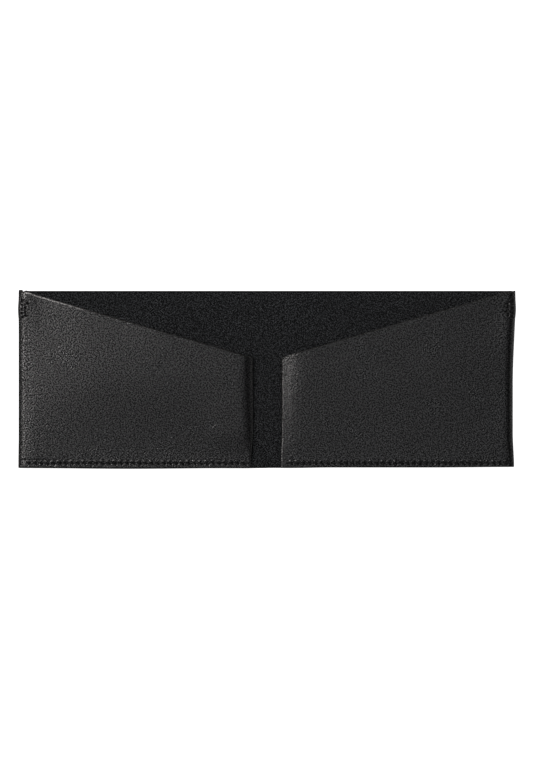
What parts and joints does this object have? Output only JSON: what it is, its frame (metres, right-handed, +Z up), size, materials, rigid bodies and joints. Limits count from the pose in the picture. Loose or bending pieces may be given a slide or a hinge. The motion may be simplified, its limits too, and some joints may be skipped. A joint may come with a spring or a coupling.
{
  "type": "bifold wallet",
  "caption": "Slim leather bifold wallet lying open, with slant-mouthed folded pockets sewn along the bottom and a full-width note slot behind them.",
  "frame": {"origin": "middle of the underside of the open wallet, on the surface it lies on", "axes": "+X along the open length towards the right pocket, +Y from the sewn bottom edge to the pocket mouths, +Z up out of the pocket fronts"},
  "size_m": [0.24, 0.0854, 0.0043],
  "materials": {
    "grain_side_leather": "fine smooth grain with a soft sheen, black",
    "flesh_side_leather": "rough matt flesh side, black; the underside of the same panels is smooth grain",
    "thread": "black waxed sewing thread"
  },
  "bodies": {
    "spine": {"spine_strip": "flesh_side_leather"},
    "left_half": {"left_cover_panel": "flesh_side_leather", "left_outer_fold": "grain_side_leather", "left_pocket_front": "grain_side_leather", "left_inner_fold": "grain_side_leather", "left_pocket_return": "grain_side_leather", "left_seam_needle_thread": "thread", "left_seam_bobbin_thread": "thread", "left_tack_needle_thread": "thread", "left_tack_bobbin_thread": "thread"},
    "right_half": {"right_cover_panel": "flesh_side_leather", "right_outer_fold": "grain_side_leather", "right_pocket_front": "grain_side_leather", "right_inner_fold": "grain_side_leather", "right_pocket_return": "grain_side_leather", "right_seam_needle_thread": "thread", "right_seam_bobbin_thread": "thread", "right_tack_needle_thread": "thread", "right_tack_bobbin_thread": "thread"}
  },
  "joints": [
    {"name": "right_fold", "type": "hinge", "parent": "spine", "child": "right_half", "pos_m": [0.0038, 0, 0.00154], "axis": [0, -1, 0], "range_deg": [0, 90]},
    {"name": "left_fold", "type": "hinge", "parent": "spine", "child": "left_half", "pos_m": [-0.0038, 0, 0.00154], "axis": [0, 1, 0], "range_deg": [0, 90]}
  ],
  "couplings": [
    {"joint": "left_fold", "follows": "right_fold", "ratio": 1}
  ]
}
